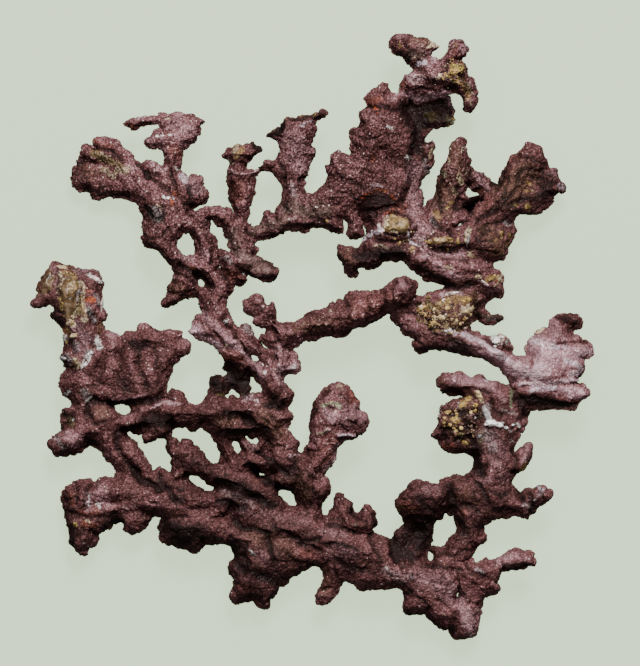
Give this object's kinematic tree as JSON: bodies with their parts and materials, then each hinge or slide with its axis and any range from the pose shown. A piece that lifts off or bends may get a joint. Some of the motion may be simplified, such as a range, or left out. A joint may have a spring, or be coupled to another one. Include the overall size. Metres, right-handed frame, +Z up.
{
  "type": "arborescent native copper specimen",
  "caption": "Flat, open, branching growth of native copper that lies on a surface, with leafy ends, knobbly stems and small lumps of pale mineral held among its branches.",
  "frame": {"origin": "middle of the specimen's outline, on the surface that it lies on", "axes": "+Z up, away from the surface; +Y towards the picture's top edge; +X towards its right edge"},
  "size_m": [0.1236, 0.1333, 0.0168],
  "materials": {
    "dark_copper": "dark maroon tarnish with a sugary grain",
    "leaf_copper": "mauve-brown tarnish, lighter on the leaves",
    "cream_mineral": "cloudy, granular",
    "yellow_mineral": "cloudy, granular",
    "white_crystal": "cloudy, glossy"
  },
  "bodies": {
    "root": {"left_tip": "dark_copper", "left_plate": "dark_copper", "left_arm": "dark_copper", "lower_left_club": "dark_copper", "lower_left_lobe": "dark_copper", "slanting_finger": "dark_copper", "left_trunk": "dark_copper", "arch": "dark_copper", "stem_base": "dark_copper", "club_stem": "dark_copper", "upper_left_fan": "dark_copper", "bird_leaf": "leaf_copper", "upper_band": "dark_copper", "flag_stem": "dark_copper", "big_leaf": "leaf_copper", "back_leaf": "leaf_copper", "crown": "dark_copper", "blade": "leaf_copper", "upper_right_fan": "leaf_copper", "cluster_left": "dark_copper", "cluster_right": "dark_copper", "middle_arm": "dark_copper", "inner_club": "dark_copper", "matrix_arm": "dark_copper", "right_bridge": "dark_copper", "right_leaf": "leaf_copper", "right_arm": "dark_copper", "right_limb": "dark_copper", "right_lobe": "dark_copper", "lower_right_corner": "dark_copper", "lower_band": "dark_copper", "bottom_bulge": "dark_copper", "hub": "dark_copper", "centre": "dark_copper", "centre_club": "dark_copper", "left_tip_matrix": "cream_mineral", "cluster_matrix": "cream_mineral", "cluster_crystal": "cream_mineral", "middle_matrix": "cream_mineral", "crown_matrix": "yellow_mineral", "right_arm_matrix": "yellow_mineral", "right_arm_crystal": "white_crystal", "bridge_crystal": "white_crystal"}
  },
  "joints": []
}
